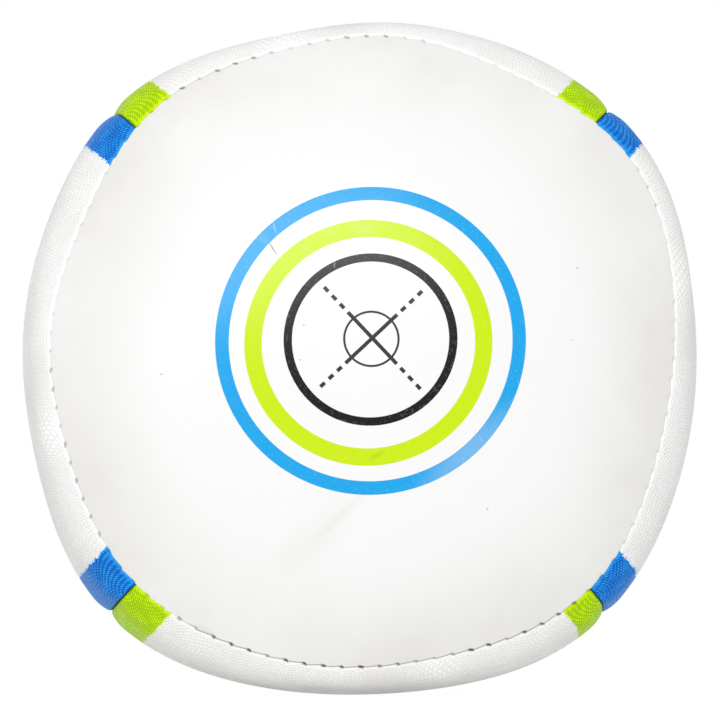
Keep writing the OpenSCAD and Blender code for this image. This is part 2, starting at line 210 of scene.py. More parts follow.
def sewn(s, r, a, share):
    """Points of the ball as sewn, from its pattern. The angle a runs from +Z towards +X."""
    front = np.clip((TIP_S - s) / (TIP_S - RIM[0]), 0, 1)
    turned = a + np.interp(np.mod(a, 2 * math.pi), SEAM_ANGLES, SEAM_DRIFT) * front
    face = eased(np.clip(1 - (s - RIM[0]) / FACE_REACH, 0, 1))
    off = face * out_of_round(FACE_ROUND, turned) + (1 - face) * out_of_round(BODY_ROUND, turned)
    top = np.mod(a + math.pi, 2 * math.pi) - math.pi
    beside_valve = 1 - np.exp(-((top * MID_R) ** 2 + s ** 2) / (2 * VALVE_REACH ** 2))
    r = r + off * share * beside_valve
    return np.stack([r * np.sin(turned), s - MIDDLE_S, AXIS_Z + r * np.cos(turned)], axis=-1)


def stitch_step(a):
    """How far a stitch moves the face's seam outwards, and how open the seam is there."""
    turns = np.mod(-a * RIM_STITCHES / (2 * math.pi), RIM_STITCHES)
    along = np.mod(turns, 1)
    stitch = np.minimum(turns.astype(int), RIM_STITCHES - 1)
    before = (stitch + 1) % RIM_STITCHES
    run = 1 - STEP_SHARE
    rising = eased(np.clip((along - run) / STEP_SHARE, 0, 1))
    down = 0.5 * HAND[0][stitch] * (1 - 2 * along / run)
    up = 0.5 * (HAND[0][before] * rising - HAND[0][stitch] * (1 - rising))
    opened = HAND[1][stitch] * np.exp(-((along - run - STEP_SHARE / 2) / OPEN_SHARE) ** 2)
    return STEP_H * np.where(along < run, down, up), opened


# Degrees round the face's seam from the top, clockwise, and how dark its stitches are painted there,
# with dirt and painted shade
SEAM_SHADE_AND_SOIL_AT = (0, 8, 14, 54, 58, 62, 66, 130, 140, 146, 212, 218, 233, 238, 265, 280, 318, 323, 340,
           346, 360)
SEAM_SHADE_AND_SOIL = (0.6, 0.6, 0.08, 0.08, 0.5, 0.5, 0.08, 0.15, 0.85, 1, 1, 0.25, 0.25, 0.55, 0.5, 0.15, 0.15,
        0.75, 0.75, 0.2, 0.6)

# The green strip beside the lower right seam is this share narrower where it meets the face, and
# gets its full width over about so many mm
NARROWER = 0.3
NARROW_REACH = 60


def step_fade(q):
    """Share of a stitch's step that is left at q from the seam."""
    return np.clip(1 - q / STEP_FADE, 0, 1) ** 2


def sunk(q, opened, depth):
    """How far the skin sinks at q from the seam, where a stitch opens it."""
    return depth * opened * np.exp(-((q - SINK_AT) / SINK_REACH) ** 2)


def seam_shade_and_soil(a):
    """How dark the face's seam is painted at an angle round the axis, with dirt and painted shade."""
    return np.interp(np.mod(np.degrees(a), 360), SEAM_SHADE_AND_SOIL_AT, SEAM_SHADE_AND_SOIL)


# ---- Profiles through the axis ---------------------------------------------------------------
PATH_STEP = 0.05        # distance between a path's points
SOFT_TO = 5             # a fold is rounded up to this far from the face's seam
SOFT_FADE = 2           # and less and less over the last of that
FACE_MIDDLE = 0.008     # the face's sheet ends at this share of its radius


def evenly(path):
    """The path with evenly spaced points, and how far each lies from the face's seam."""
    length = np.concatenate([[0], np.cumsum(np.hypot(*np.diff(path, axis=0).T))]) - RIM_LIP
    at = np.arange(-RIM_LIP, length[-1], PATH_STEP)
    even = np.column_stack([np.interp(at, length, path[:, k]) for k in (0, 1)])
    wide = int(FOLD_R / PATH_STEP)
    kernel = np.ones(2 * wide + 1) / (2 * wide + 1)
    soft = np.pad(even, ((2 * wide, 2 * wide), (0, 0)), mode="edge")
    for _ in range(2):
        soft = np.column_stack([np.convolve(soft[:, k], kernel, "valid") for k in (0, 1)])
    near = np.clip((SOFT_TO - np.abs(at)) / SOFT_FADE, 0, 1)[:, None]
    even = even * (1 - near) + soft * near
    along = np.gradient(even, at, axis=0)
    along /= np.hypot(*along.T)[:, None]
    return at, even, along


lips = np.linspace(LIP_END, RIM, 40)[:-1]
shoulder_leans = np.linspace(FOLD_LEAN, SHOULDER_LEAN, 60)
shoulder = SHOULDER_CENTRE + SHOULDER_R * np.column_stack([
    -np.sin(shoulder_leans), np.cos(shoulder_leans)])
tip_turn = math.acos((CLOSED_R / MID_R) ** (1 / (2 * TAIL_SHAPE)))
body_s = TAIL_LEN * np.sin(np.linspace(math.asin(-FRONT_LEN / TAIL_LEN), tip_turn, 1500))[1:]
side_path = evenly(np.vstack([lips, shoulder, np.column_stack([body_s, body_r(body_s)])]))
face_shares = np.linspace(1, FACE_MIDDLE, 600)
face_path = evenly(np.vstack([lips, np.column_stack([
    RIM[0] - CROWN_H * (1 - face_shares ** CROWN_SHAPE), face_shares * RIM[1]])]))


def along_path(path, q):
    """Places on a path and directions along it, at distances q from the face's seam."""
    at, places, along = path
    return [np.interp(q, at, column)[:, None] for column in (*places.T, *along.T)]


# ---- Shells ----------------------------------------------------------------------------------
FOLD_ZONE = 1.8         # rows lie closest up to here from the face's seam
FOLD_ROWS = 0.15
NEAR_ZONE = 5.2         # and close up to here
NEAR_ROWS = 0.34
GROOVE_CURVE = 2.2      # more makes a long seam's groove narrower
PULL_D = 0.16           # each stitch of a long seam pulls the skin in by this much
PULL_REACH = 2.2
FOLD_GAP = 0.15         # at its fold, the face's layers come this close to its outer skin
FOLD_SPREAD = 0.06      # plus this share of how deep they lie elsewhere
# There is little room near the tip, so these hold there
TIP_LIP = 0.25          # a lip keeps at least this share of its length
LEAST_RING_R = 0.02     # no point comes nearer the axis
LEAST_R = 0.05          # least radius at which a fold's angle is worked out
WIDEST_FOLD = 0.6       # sine of the widest angle that a fold takes up
ROLL_ROOM = 1.5         # least radius for a roll, in widths of the roll


def distances(length, coarse):
    """Distances from the face's seam: close together at its fold, wider along the rest."""
    parts = [
        np.linspace(-RIM_LIP, -FOLD_ZONE, 4)[:-1],
        np.arange(-FOLD_ZONE, FOLD_ZONE, FOLD_ROWS),
        np.arange(FOLD_ZONE, NEAR_ZONE, NEAR_ROWS),
        np.linspace(NEAR_ZONE, length, max(2, round((length - NEAR_ZONE) / coarse))),
    ]
    return np.concatenate(parts)


def side_sheet(q, near, middle, skin, quarter):
    """A grid over one side panel's quarter: rows at q, and columns from seam to seam. near has
    one row for each column beside a seam: distance from it, depth of its fold, share of the lip."""
    s, r, along_s, along_r = along_path(side_path, q)
    q = q[:, None]
    share = np.minimum(1, r / TAPER_R)
    shoulder = np.clip(q / SHOULDER_LENGTH, 0, 1)
    groove = GROOVE_D * np.where(q < SHOULDER_LENGTH, shoulder ** 2, share)
    edge = SQUARENESS * SHOULDER_START_R / MID_R
    square = np.where(q < SHOULDER_LENGTH,
                      RIM_SQUARENESS + shoulder * (edge - RIM_SQUARENESS),
                      SQUARENESS * r / MID_R)
    beside, fold, lip = near.T
    pull = 0.5 + 0.5 * np.cos(2 * math.pi * q / STITCH_PITCH)
    dip = groove * (1 - beside / SEAM_W) ** GROOVE_CURVE
    dip = dip + PULL_D * pull * np.exp(-beside / PULL_REACH) * np.minimum(groove, 1)
    depth = skin + dip + fold * share
    lip_end = groove + LAYERS_T + FREE_LIP * np.maximum(share, TIP_LIP)
    depth = depth + lip * (lip_end - depth)
    depth_r = np.maximum(r - depth * along_s, LEAST_R)
    off = np.arcsin(np.minimum(beside * share / depth_r, WIDEST_FOLD))
    room = np.maximum(r, SEAM_W * share * ROLL_ROOM)
    roll = QUARTER - np.arcsin(SEAM_W * share / room)
    angles = np.concatenate([off - QUARTER, middle * roll, (QUARTER - off)[:, ::-1]], axis=1)
    depths = np.concatenate([
        depth, np.full((len(q), len(middle)), skin), depth[:, ::-1]], axis=1)
    a = angles + quarter
    step, opened = stitch_step(a)
    depths = depths + sunk(q, opened, PANEL_SINK)
    ring_r = r - depths * along_s - square * np.cos(4 * angles)
    ring_s = s + depths * along_r
    ring_r = np.maximum(ring_r + step * step_fade(q), LEAST_RING_R)
    share_round = np.minimum(1, r / RIM[1])
    points = sewn(ring_s, ring_r, a, share_round)
    flat = np.stack([angles * r, q + 0 * angles], axis=-1)
    lower_right = (a > 3 * QUARTER) & (a < 4 * QUARTER)
    narrow_strip = NARROWER * np.exp(-q / NARROW_REACH) * lower_right
    from_seam = r * np.sin(QUARTER - np.abs(angles)) * (1 + narrow_strip)
    seams = np.stack([from_seam, q + 0 * angles], axis=-1)
    return points, flat, seams, np.stack([opened, seam_shade_and_soil(a)], axis=-1)


def face_sheet(q, a, skin):
    """A grid over the round face: rows at distances q in from its seam, columns at angles a."""
    s, r, along_s, along_r = along_path(face_path, q)
    q = q[:, None]
    inward = np.clip(r / RIM[1], 0, 1)
    step, opened = stitch_step(a)
    inside_fold = FOLD_GAP + FOLD_SPREAD * skin + FOLD_MITRE * np.abs(q)
    depths = np.minimum(skin, inside_fold) + sunk(q, opened, COVER_SINK)
    ring_r = r + depths * along_s - RIM_SQUARENESS * inward ** 3 * np.cos(4 * a)
    ring_s = s - depths * along_r
    ring_r = ring_r + step * step_fade(q)
    points = sewn(ring_s, ring_r, a + 0 * r, inward ** 2)
    flat = np.stack([points[..., 0], points[..., 2] - AXIS_Z], axis=-1)
    seams = np.stack([q + 0 * a, q + 0 * a], axis=-1)
    marks = np.stack([opened + 0 * r, seam_shade_and_soil(a) + 0 * r], axis=-1)
    return points, flat, seams, marks


def grid_faces(rows, cols, first, wrap, flip):
    """Four-cornered faces of a grid of points."""
    i, j = np.meshgrid(np.arange(rows - 1), np.arange(cols - (0 if wrap else 1)), indexing="ij")
    k = (j + 1) % cols
    corners = [i * cols + j, i * cols + k, (i + 1) * cols + k, (i + 1) * cols + j]
    if flip:
        corners.reverse()
    return (np.stack(corners, axis=-1).reshape(-1, 4) + first).tolist()


def walls(outer, inner, picks, flip):
    """Faces that join a fine edge to a coarse one, whose points lie at the fine one's picks."""
    faces = []
    for k in range(len(picks) - 1):
        fine = outer[picks[k]:picks[k + 1] + 1]
        face = list(fine) + [inner[k + 1], inner[k]]
        faces.append(face[::-1] if flip else face)
    return faces


def shell(outer, inner, row_picks, col_picks, wrap, flip):
    """Closes a fine outer grid and a coarse inner one into a shell."""
    rows, cols = outer[0].shape[:2]
    in_rows, in_cols = inner[0].shape[:2]
    count = rows * cols
    stacked = [
        np.concatenate([fine.reshape(-1, fine.shape[-1]), rough.reshape(-1, fine.shape[-1])])
        for fine, rough in zip(outer, inner)
    ]
    faces = grid_faces(rows, cols, 0, wrap, flip)
    faces += grid_faces(in_rows, in_cols, count, wrap, not flip)
    index = np.arange(count).reshape(rows, cols)
    in_index = count + np.arange(in_rows * in_cols).reshape(in_rows, in_cols)
    if wrap:
        edge = np.append(index[0], index[0, 0]).tolist()
        in_edge = np.append(in_index[0], in_index[0, 0]).tolist()
        faces += walls(edge, in_edge, list(col_picks) + [cols], not flip)
        faces.append(index[-1].tolist()[::-1 if flip else 1])
        faces.append(in_index[-1].tolist()[::1 if flip else -1])
    else:
        faces += walls(index[0].tolist(), in_index[0].tolist(), col_picks, not flip)
        faces += walls(index[-1].tolist(), in_index[-1].tolist(), col_picks, flip)
        faces += walls(index[:, 0].tolist(), in_index[:, 0].tolist(), row_picks, flip)
        faces += walls(index[:, -1].tolist(), in_index[:, -1].tolist(), row_picks, not flip)
    return stacked, faces


def make_piece(name, arrays, faces, material, slot, *replaced):
    """A piece that rides on the ball, with its maps: two in millimetres, one of the stitches."""
    mesh = bpy.data.meshes.new(name)
    mesh.from_pydata((arrays[0] * MM).tolist(), [], faces)
    corners = np.empty(len(mesh.loops), dtype=np.int64)
    mesh.loops.foreach_get("vertex_index", corners)
    for map_name, values in zip(("Flat", "Seams", "Stitches"), arrays[1:]):
        layer = mesh.uv_layers.new(name=map_name)
        layer.data.foreach_set("uv", values[corners].astype(np.float32).ravel())
    mesh.shade_smooth()
    mesh.materials.append(material)
    made = show(name, mesh)
    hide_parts(*replaced)
    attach(made, "root")
    return made


# ---- Materials -------------------------------------------------------------------------------
def colour(hex_code):
    """An sRGB hex value as the linear colour that a shader takes."""
    parts = [int(hex_code[k:k + 2], 16) / 255 for k in (1, 3, 5)]
    linear = [p / 12.92 if p <= 0.04045 else ((p + 0.055) / 1.055) ** 2.4 for p in parts]
    return (*linear, 1.0)


def add(tree, kind, settings, inputs):
    """Adds one node with its settings, and each input's value or the node linked to it."""
    made = tree.nodes.new("ShaderNode" + kind)
    for name, value in settings.items():
        setattr(made, name, value)
    for name, value in inputs.items():
        found = [s for s in made.inputs if s.name == name and s.enabled]
        socket = made.inputs[name] if isinstance(name, int) else found[0]
        if isinstance(value, bpy.types.Node):
            value = next(s for s in value.outputs if s.enabled)
        if isinstance(value, bpy.types.NodeSocket):
            tree.links.new(value, socket)
        else:
            socket.default_value = value
    return made


# Settings that several nodes share
SMOOTH = {"interpolation_type": "SMOOTHSTEP"}
COLOURS = {"data_type": "RGBA"}
DARKEN = {"data_type": "RGBA", "blend_type": "MULTIPLY"}
ON_SHEET = {"noise_dimensions": "2D"}
PLACED = {"vector_type": "TEXTURE"}
TIMES = {"operation": "MULTIPLY"}
TIMES_PLUS = {"operation": "MULTIPLY_ADD"}
PLUS = {"operation": "ADD"}
MINUS = {"operation": "SUBTRACT"}
LARGEST = {"operation": "MAXIMUM"}
LENGTH = {"operation": "LENGTH"}
BELOW = {"operation": "LESS_THAN"}
CLOSE_TO = {"operation": "COMPARE"}


def new_material(name):
    """An empty material: its nodes, and the shader that its surface uses."""
    material = bpy.data.materials.new(name)
    material.use_nodes = True
    return material, material.node_tree, material.node_tree.nodes["Principled BSDF"]


def dress(tree, shader, tone, bump, values):
    """Gives a shader its colour, its relief and its plain values."""
    tree.links.new(tone.outputs[2], shader.inputs["Base Color"])
    tree.links.new(bump.outputs[0], shader.inputs["Normal"])
    for name, value in values.items():
        shader.inputs[name].default_value = value


def shade_and_soil_seams(tree, surface, from_seam):
    """Painted shade and dirt down in the face's seam, and a dark mark of painted shade and dirt where
    each stitch opens it.
    """
    marks = add(tree, "UVMap", {"uv_map": "Stitches"}, {})
    stitch = add(tree, "SeparateXYZ", {}, {"Vector": marks})
    near = add(tree, "MapRange", SMOOTH, {
        "Value": from_seam, "From Min": 0.15, "From Max": 0.7, "To Min": 0.9, "To Max": 0.0})
    opened = add(tree, "MapRange", {}, {
        "Value": stitch.outputs["X"], "From Min": 0.2, "From Max": 0.75})
    mark = add(tree, "Math", TIMES, {0: near, 1: opened})
    mark = add(tree, "Math", TIMES, {0: mark, 1: stitch.outputs["Y"]})
    # Painted shade and dirt at the bottom of the seam's groove
    groove_shade_and_dirt = add(tree, "MapRange", {}, {
        "Value": from_seam, "From Min": -0.3, "From Max": 0.32, "To Min": 0.8, "To Max": 0.0})
    shade_and_soil_weight = add(tree, "Math", {"operation": "POWER"}, {0: stitch.outputs["Y"], 1: 4.0})
    groove_shade_and_dirt = add(tree, "Math", TIMES, {0: groove_shade_and_dirt, 1: shade_and_soil_weight})
    seam_shade_and_dirt = add(tree, "Math", LARGEST, {0: mark, 1: groove_shade_and_dirt})
    # A dark brown for the painted shade and dirt in the seam
    return add(tree, "Mix", DARKEN, {"Factor": seam_shade_and_dirt, "A": surface, "B": colour("#4a4038")})


ROW_BEND = 10.0         # the stretched rubber bends the pimples' rows by up to about this much
STRIP_W = 10.9          # a printed strip is this wide, and the ragged edge adds about 1.3
RAGGED = 2.2            # how much the wear moves that edge at most
STRIP_ROOM = 0.82       # near the tip a strip takes this share of the room in its half panel
STRIP_EASE = 4.0        # one width passes into the other over about this


def pimpled_rubber(name, print_shade_and_highlight_hex):
    """Natural rubber moulded with fine round pimples, printed along its two long seams. The
    pimples break up every reflection, and the print sits on their tops, so its edge is ragged."""
    material, tree, shader = new_material(name)
    flat = add(tree, "UVMap", {"uv_map": "Flat"}, {})
    seams = add(tree, "UVMap", {"uv_map": "Seams"}, {})
    beside = add(tree, "SeparateXYZ", {}, {"Vector": seams})
    # Round pimples in close-packed rows that slant over the ball, as three crossing waves make
    # them. The rubber is smooth at the fold.
    bend = add(tree, "TexNoise", ON_SHEET, {"Vector": flat, "Scale": 0.05, "Detail": 0.0})
    bent = add(tree, "VectorMath", TIMES_PLUS, {
        0: bend.outputs["Color"], 1: (ROW_BEND, ROW_BEND, 0.0), 2: flat})
    row_pitch = PIMPLE_PITCH * math.sqrt(3) / 2
    waves = []
    for degrees in (45, 105, 165):
        across_rows = (2 * math.pi / row_pitch * math.cos(math.radians(degrees)),
                       2 * math.pi / row_pitch * math.sin(math.radians(degrees)), 0.0)
        phase = add(tree, "VectorMath", {"operation": "DOT_PRODUCT"}, {0: bent, 1: across_rows})
        waves.append(add(tree, "Math", {"operation": "COSINE"}, {0: phase.outputs["Value"]}))
    dots = add(tree, "Math", PLUS, {0: waves[1], 1: waves[2]})
    relief = add(tree, "Math", TIMES_PLUS, {0: waves[0], 1: 1.5, 2: dots})
    low = add(tree, "MapRange", SMOOTH, {
        "Value": relief, "From Min": -1.6, "From Max": 2.7, "To Min": 1.0, "To Max": 0.0})
    open_rubber = add(tree, "MapRange", SMOOTH, {
        "Value": beside.outputs["Y"], "From Min": -0.2, "From Max": 1.5, "To Min": 0.25})
    low = add(tree, "Math", TIMES, {0: low, 1: open_rubber})
    height = add(tree, "Math", MINUS, {0: 1.0, 1: low})
    # Printed strips beside the long seams, narrower towards the tip
    ragged = add(tree, "Math", TIMES_PLUS, {0: height, 1: -0.5, 2: beside.outputs["X"]})
    wear = add(tree, "TexNoise", ON_SHEET, {"Vector": flat, "Scale": 0.35, "Detail": 4.0})
    ragged = add(tree, "Math", TIMES_PLUS, {0: wear, 1: -RAGGED, 2: ragged})
    middle = add(tree, "SeparateXYZ", {}, {"Vector": flat})
    room = add(tree, "Math", {"operation": "ABSOLUTE"}, {0: middle.outputs["X"]})
    room = add(tree, "Math", TIMES, {0: room, 1: STRIP_ROOM})
    reach = add(tree, "Math", {"operation": "SMOOTH_MIN"}, {0: room, 1: STRIP_W, 2: STRIP_EASE})
    printed = add(tree, "Math", BELOW, {0: ragged, 1: reach})
    # Painted highlight and painted shade: the white rubber and the print are lighter on the pimples'
    # tops and darker between them
    white_relief_shaded = add(tree, "Mix", COLOURS, {
        "Factor": height, "A": colour("#ecebea"), "B": colour("#fbfbfb")})
    print_wear_and_relief_light = add(tree, "Math", TIMES_PLUS, {0: wear, 1: 1.2, 2: -0.7})
    print_wear_and_relief_light = add(tree, "Math", PLUS, {0: print_wear_and_relief_light, 1: height})
    print_colour_and_relief_light = add(tree, "Mix", COLOURS, {
        "Factor": print_wear_and_relief_light, "A": colour(print_shade_and_highlight_hex[0]), "B": colour(print_shade_and_highlight_hex[1])})
    surface = add(tree, "Mix", COLOURS, {"Factor": printed, "A": white_relief_shaded, "B": print_colour_and_relief_light})
    # Handling grime, cloudy and pale
    clouds = add(tree, "TexNoise", ON_SHEET, {
        "Vector": flat, "Scale": 0.025, "Detail": 7.0, "Roughness": 0.62})
    grime = add(tree, "MapRange", {}, {
        "Value": clouds, "From Min": 0.4, "From Max": 0.8, "To Max": 0.34})
    surface = add(tree, "Mix", DARKEN, {"Factor": grime, "A": surface, "B": colour("#dbd5c9")})
    shaded_and_soiled = shade_and_soil_seams(tree, surface, beside.outputs["Y"])
    # Painted shade and dirt: a dark line down the groove of the seam between two panels
    line = add(tree, "MapRange", {}, {
        "Value": beside.outputs["X"], "From Min": 0.0, "From Max": 0.5, "To Min": 0.7, "To Max": 0.0})
    shaded_and_soiled = add(tree, "Mix", DARKEN, {"Factor": line, "A": shaded_and_soiled, "B": colour("#3c4148")})
    bump = add(tree, "Bump", {}, {"Height": height, "Strength": 1.0, "Distance": 0.00017})
    dress(tree, shader, shaded_and_soiled, bump, {
        "Roughness": 0.48, "IOR": 1.5, "Specular IOR Level": 0.12})
    return material


# Each print's ink between the pimples, with painted shade, and on their tops, with a painted
# highlight
green_print_shade_and_highlight = ("#9ccb00", "#dcff00")
blue_print_shade_and_highlight = ("#0060c6", "#2cacff")
rubber_green = pimpled_rubber("pimpled_rubber_green_print", green_print_shade_and_highlight)
rubber_blue = pimpled_rubber("pimpled_rubber_blue_print", blue_print_shade_and_highlight)


def lining_cloth():
    """Woven polyester bonded with latex: dull, tan where the latex soaks it, threads 0.6 mm."""
    material, tree, shader = new_material("latexed_polyester_cloth")
    flat = add(tree, "UVMap", {"uv_map": "Flat"}, {})
    weave = add(tree, "TexVoronoi", {"voronoi_dimensions": "2D"}, {
        "Vector": flat, "Scale": 1 / 0.6, "Randomness": 0.0})
    tone = add(tree, "Mix", COLOURS, {
        "Factor": weave, "A": colour("#e2d8bd"), "B": colour("#c3b68f")})
    bump = add(tree, "Bump", {}, {"Height": weave, "Strength": 0.5, "Distance": 0.0001})
    dress(tree, shader, tone, bump, {"Roughness": 0.9})
    return material


cloth = lining_cloth()


def waxed_thread():
    """Twisted polyester thread, waxed: a soft sheen on cords that lie slanted every 0.5 mm."""
    material, tree, shader = new_material("waxed_polyester_thread")
    flat = add(tree, "UVMap", {"uv_map": "Flat"}, {})
    twist = add(tree, "TexWave", {"bands_direction": "DIAGONAL"}, {
        "Vector": flat, "Scale": 2.0, "Distortion": 0.3})
    tone = add(tree, "Mix", COLOURS, {
        "Factor": twist, "A": colour("#8f8269"), "B": colour("#e8dfc8")})
    bump = add(tree, "Bump", {}, {"Height": twist, "Strength": 0.6, "Distance": 0.0001})
    dress(tree, shader, tone, bump, {"Roughness": 0.55})
    return material


thread_finish = waxed_thread()


def plain_finish(name, hex_low, hex_high, pitch_mm, depth_mm, roughness):
    """A moulded or foamed surface whose tone and relief vary over pitch_mm."""
    material, tree, shader = new_material(name)
    place = add(tree, "TexCoord", {}, {})
    grain = add(tree, "TexNoise", {}, {
        "Vector": place.outputs["Object"], "Scale": 1000 / pitch_mm, "Detail": 3.0})
    tone = add(tree, "Mix", COLOURS, {"Factor": grain, "A": colour(hex_low), "B": colour(hex_high)})
    bump = add(tree, "Bump", {}, {"Height": grain, "Strength": 0.6, "Distance": depth_mm * MM})
    dress(tree, shader, tone, bump, {"Roughness": roughness})
    return material


# Closed-cell foam sheet: dull, with a fine open skin. Latex: thin, matt, amber. Valve rubber:
# moulded, black, with a faint sheen; the core's rubber is softer and duller.
foam = plain_finish("closed_cell_foam", "#5f6266", "#7d8084", 1.2, 0.15, 0.95)
latex = plain_finish("natural_latex", "#b98f5a", "#d8b684", 6.0, 0.05, 0.6)
valve_rubber = plain_finish("moulded_valve_rubber", "#242425", "#343436", 0.8, 0.03, 0.5)
core_rubber = plain_finish("soft_core_rubber", "#2b2b2c", "#39393a", 0.5, 0.03, 0.65)

# ---- Side panels and their linings -----------------------------------------------------------
PANEL_ROWS = 1.35       # distance between a panel's rows beyond its fold
FACE_ROWS = 2.3         # and the face's
STITCH_COLUMNS = 9      # columns of the face in one stitch
COARSE = 6              # what can't be seen keeps one column in so many
COARSE_ROWS = 4         # and one row, on the panels
FACE_COARSE_ROWS = 3    # and on the face
KEPT_COLUMNS = (0, 8, 12)    # beside a seam it keeps the lip's end, the fold's end and the roll
INNER_FOLD = 0.4        # depth of the fold in what can't be seen
INNER_ROLL = 2.5        # and where its roll starts, on a panel's back
BACK_ROLL = 3.6         # and on a lining's
BOND = 0.02             # a lining's front lies this far behind the skin's back

side_q = distances(side_path[0][-1], PANEL_ROWS)
fold_turns = np.radians([0, 20, 40, 55, 70, 80])
lip_columns = [(0, LONG_FOLD_R, share) for share in (1, 0.6, 0.25)]
fold_columns = [(LONG_FOLD_R * (1 - math.cos(t)), LONG_FOLD_R * (1 - math.sin(t)), 0)
                for t in fold_turns]
roll_columns = [(e, 0, 0) for e in (1.0, 1.4, 1.9, 2.5, 3.2, 4.0, 4.8, 5.6)]
near_outer = np.array(lip_columns + fold_columns + roll_columns, float)
middle_outer = np.linspace(-1, 1, 241)


def every(count, stride):
    """Every few rows, and always the last one."""
    picked = list(range(0, count, stride))
    if picked[-1] != count - 1:
        picked.append(count - 1)
    return picked


def picks_of(near_picks, near_count, middle_count, stride):
    """Columns of a fine grid that its coarse inner grid keeps."""
    left = list(near_picks)
    middle = [near_count + k for k in range(0, middle_count, stride)]
    total = 2 * near_count + middle_count
    right = [total - 1 - k for k in reversed(near_picks)]
    return left + middle + right


col_picks = picks_of(KEPT_COLUMNS, len(near_outer), len(middle_outer), COARSE)
row_picks = every(len(side_q), COARSE_ROWS)
rough_q = side_q[row_picks]
rough_middle = middle_outer[::COARSE]
near_inner, near_back = [
    np.array([(layers, INNER_FOLD, 1), (layers, INNER_FOLD, 0), (roll_at, 0, 0)], float)
    for layers, roll_at in ((PANEL_T, INNER_ROLL), (LAYERS_T, BACK_ROLL))]
quarters = {"top": 0, "right": math.pi / 2, "bottom": math.pi, "left": 3 * math.pi / 2}
panel_finish = {
    "top": rubber_green, "right": rubber_blue, "bottom": rubber_green, "left": rubber_blue}
panels = {}
linings = {}
for side, quarter in quarters.items():
    outer = side_sheet(side_q, near_outer, middle_outer, 0, quarter)
    inner = side_sheet(rough_q, near_inner, rough_middle, PANEL_T, quarter)
    arrays, faces = shell(outer, inner, row_picks, col_picks, False, False)
    panels[side] = make_piece(
        "pimpled_panel_" + side, arrays, faces, panel_finish[side], "pimpled_rubber",
        "panel_" + side)
    outer = side_sheet(rough_q, near_inner, rough_middle, PANEL_T + BOND, quarter)
    inner = side_sheet(rough_q, near_back, rough_middle, LAYERS_T, quarter)
    columns = list(range(outer[0].shape[1]))
    arrays, faces = shell(outer, inner, list(range(len(rough_q))), columns, False, False)
    linings[side] = make_piece(
        "cloth_lining_" + side, arrays, faces, cloth, "lining_cloth", "lining_" + side)

# The hole for the valve's stem, through the top panel and its lining
VALVE_AT = Vector((0, -MIDDLE_S * MM, 0.181))
DRILL_H = 0.01          # the drill reaches this far above and below that place
SIDES = 48              # flat sides of the round hole
drill_mesh = bpy.data.meshes.new("drill")
ring = [(HOLE_R * MM * math.cos(t), HOLE_R * MM * math.sin(t)) for t in
        np.linspace(0, 2 * math.pi, SIDES + 1)[:-1]]
drill_points = [(VALVE_AT.x + x, VALVE_AT.y + y, VALVE_AT.z + z) for z in (-DRILL_H, DRILL_H)
                for x, y in ring]
drill_faces = [[k, (k + 1) % SIDES, SIDES + (k + 1) % SIDES, SIDES + k] for k in range(SIDES)]
drill_faces += [list(range(SIDES - 1, -1, -1)), list(range(SIDES, 2 * SIDES))]
drill_mesh.from_pydata(drill_points, [], drill_faces)
drill = show("drill", drill_mesh)
for drilled in (panels["top"], linings["top"]):
    cut = drilled.modifiers.new("hole", "BOOLEAN")
    cut.operation = "DIFFERENCE"
    cut.solver = "MANIFOLD"
    cut.object = drill
    bpy.context.view_layer.update()
    graph = bpy.context.evaluated_depsgraph_get()
    mesh = bpy.data.meshes.new_from_object(
        drilled.evaluated_get(graph), preserve_all_data_layers=True, depsgraph=graph)
    drilled.modifiers.clear()
    drilled.data = mesh
    mesh.set_sharp_from_angle(angle=math.radians(50))
bpy.data.objects.remove(drill)

# ---- Face cover and its lining ---------------------------------------------------------------
face_q = distances(face_path[0][-1], FACE_ROWS)
face_a = np.linspace(0, 2 * math.pi, RIM_STITCHES * STITCH_COLUMNS + 1)[:-1]
face_rows = every(len(face_q), FACE_COARSE_ROWS)
rough_face_q = face_q[face_rows]
rough_a = face_a[::COARSE]
cover_outer = face_sheet(face_q, face_a, 0)
cover_inner = face_sheet(rough_face_q, rough_a, COVER_T)
cover_arrays, cover_faces = shell(
    cover_outer, cover_inner, face_rows, list(range(0, len(face_a), COARSE)), True, True)
cover_tree = BVHTree.FromPolygons((cover_arrays[0] * MM).tolist(), cover_faces)
ring_places = {
    name: place_under(POINTS[name], cover_tree)
    for name in ("aiming_cross", "black_ring", "green_ring", "blue_ring")
}

# The print: each ring's inner and outer radius in mm, and its ink
RINGS = {
    "black_ring": (20.7, 22.9, "#09090a"),
    "green_ring": (28.1, 32.7, "#c1de00"),
    "blue_ring": (37.4, 41.0, "#149dde"),
}
CIRCLE_R = 7.18         # the thin circle round the cross, and the width of its line
CIRCLE_LINE = 0.58
STRETCH = 1.008         # the print is longer by this along the lower left to upper right
STRETCH_LEAN = math.radians(31)
CROSS_LEAN = math.radians(43.4)
CROSS_LINE = 1.02
CROSS_SHIFT = 0.33      # the crossing lies this far from the circle's centre
ARM = 9.4               # solid length of an arm
DASH_FROM = 10.8        # its three dashes start here
DASH_PITCH = 3.05
DASH = 1.62
DASH_END = 18.6


